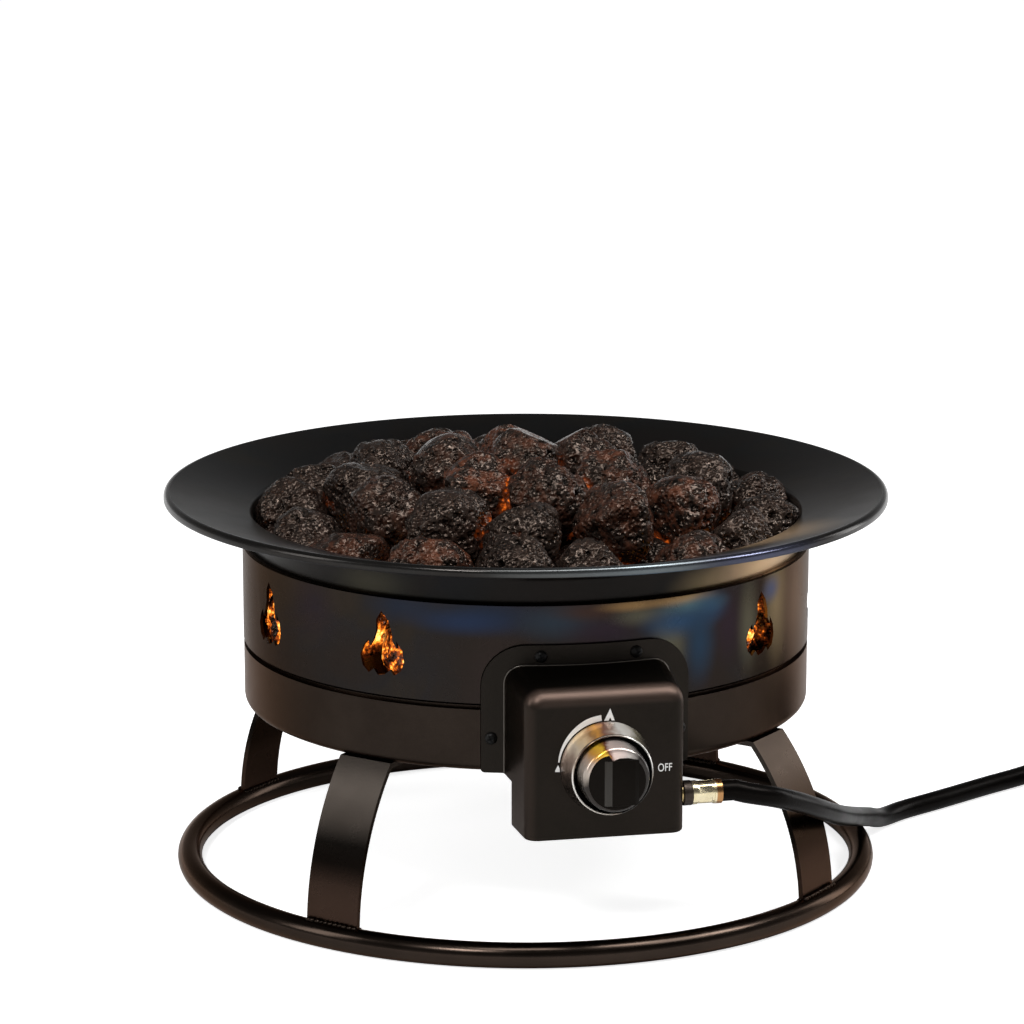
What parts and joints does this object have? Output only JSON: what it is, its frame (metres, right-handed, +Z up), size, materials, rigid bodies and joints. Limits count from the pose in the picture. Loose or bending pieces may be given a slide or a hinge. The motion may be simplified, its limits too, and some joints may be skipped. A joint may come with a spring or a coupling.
{
  "type": "gas fire pit",
  "caption": "Portable gas fire bowl on a tube ring stand, with lava rock over a ring burner, a side control box with one knob, and a hose with regulator.",
  "frame": {"origin": "on the floor, under the centre of the bowl and of the floor ring", "axes": "+Z up; the control box and its knob face -Y; the hose leaves the box towards +X"},
  "size_m": [0.8378, 0.4985, 0.295],
  "materials": {
    "bowl_enamel": "dark heat-tinted high-temperature paint, semi-gloss",
    "frame_paint": "bronze-black powder coat, semi-gloss",
    "black_screw": "blackened steel",
    "burner_steel": "stainless steel, heat stained",
    "zinc_steel": "zinc plated",
    "lava_rock": "porous black lava rock",
    "cast_brass": "cast, dull",
    "brass": "turned",
    "ferrule_brass": "pale brass, crimped",
    "chrome": "polished chrome plate",
    "knob_black": "moulded black plastic",
    "collar_dark": "blackened nut",
    "hose_rubber": "smooth black rubber",
    "tie_strap": "black strap",
    "regulator_zinc": "grey die-cast zinc",
    "cap_plastic": "black moulded",
    "nut_plastic": "black moulded hand nut"
  },
  "bodies": {
    "frame": {"rim_ring": "bowl_enamel", "fire_bowl": "bowl_enamel", "base_pan": "frame_paint", "bowl_screws": "black_screw", "burner_ring": "burner_steel", "burner_brackets": "burner_steel", "burner_screws": "zinc_steel", "riser_nut": "zinc_steel", "venturi_tube": "burner_steel", "air_shutter": "zinc_steel", "lava_rocks": "lava_rock", "leg_front_left": "frame_paint", "leg_front_right": "frame_paint", "leg_rear_right": "frame_paint", "leg_rear_left": "frame_paint", "base_ring": "frame_paint", "leg_screws": "black_screw", "control_box": "frame_paint", "mounting_plate": "frame_paint", "plate_screws": "black_screw", "valve_body": "cast_brass", "valve_screws": "zinc_steel", "orifice_jet": "brass", "stem_spring": "zinc_steel", "knob_bezel": "chrome", "inlet_elbow": "brass", "inlet_nut": "zinc_steel", "hose_collar": "collar_dark", "hose_ferrule": "ferrule_brass", "hose": "hose_rubber", "hose_coil": "hose_rubber", "coil_tie": "tie_strap", "regulator_ferrule": "ferrule_brass", "regulator_body": "regulator_zinc", "regulator_cap": "cap_plastic", "connector_nipple": "brass"},
    "push_carrier": {"push_collar": "brass"},
    "knob": {"knob_ring": "chrome", "knob_grip": "knob_black", "valve_stem": "zinc_steel"},
    "coupling": {"coupling_nut": "nut_plastic"}
  },
  "joints": [
    {"name": "knob_push", "type": "slide", "parent": "frame", "child": "push_carrier", "axis": [0, 1, 0], "range_m": [0, 0.0025], "stiffness_N_per_m": 900, "springref_m": -0.002, "deforming": ["stem_spring"]},
    {"name": "knob_turn", "type": "hinge", "parent": "push_carrier", "child": "knob", "pos_m": [0, -0.24, 0.1295], "axis": [0, 1, 0], "range_deg": [-90, 90]},
    {"name": "coupling_turn", "type": "hinge", "parent": "frame", "child": "coupling", "pos_m": [0.57283, -0.098, 0.0215], "axis": [0, -1, 0], "continuous": true}
  ]
}
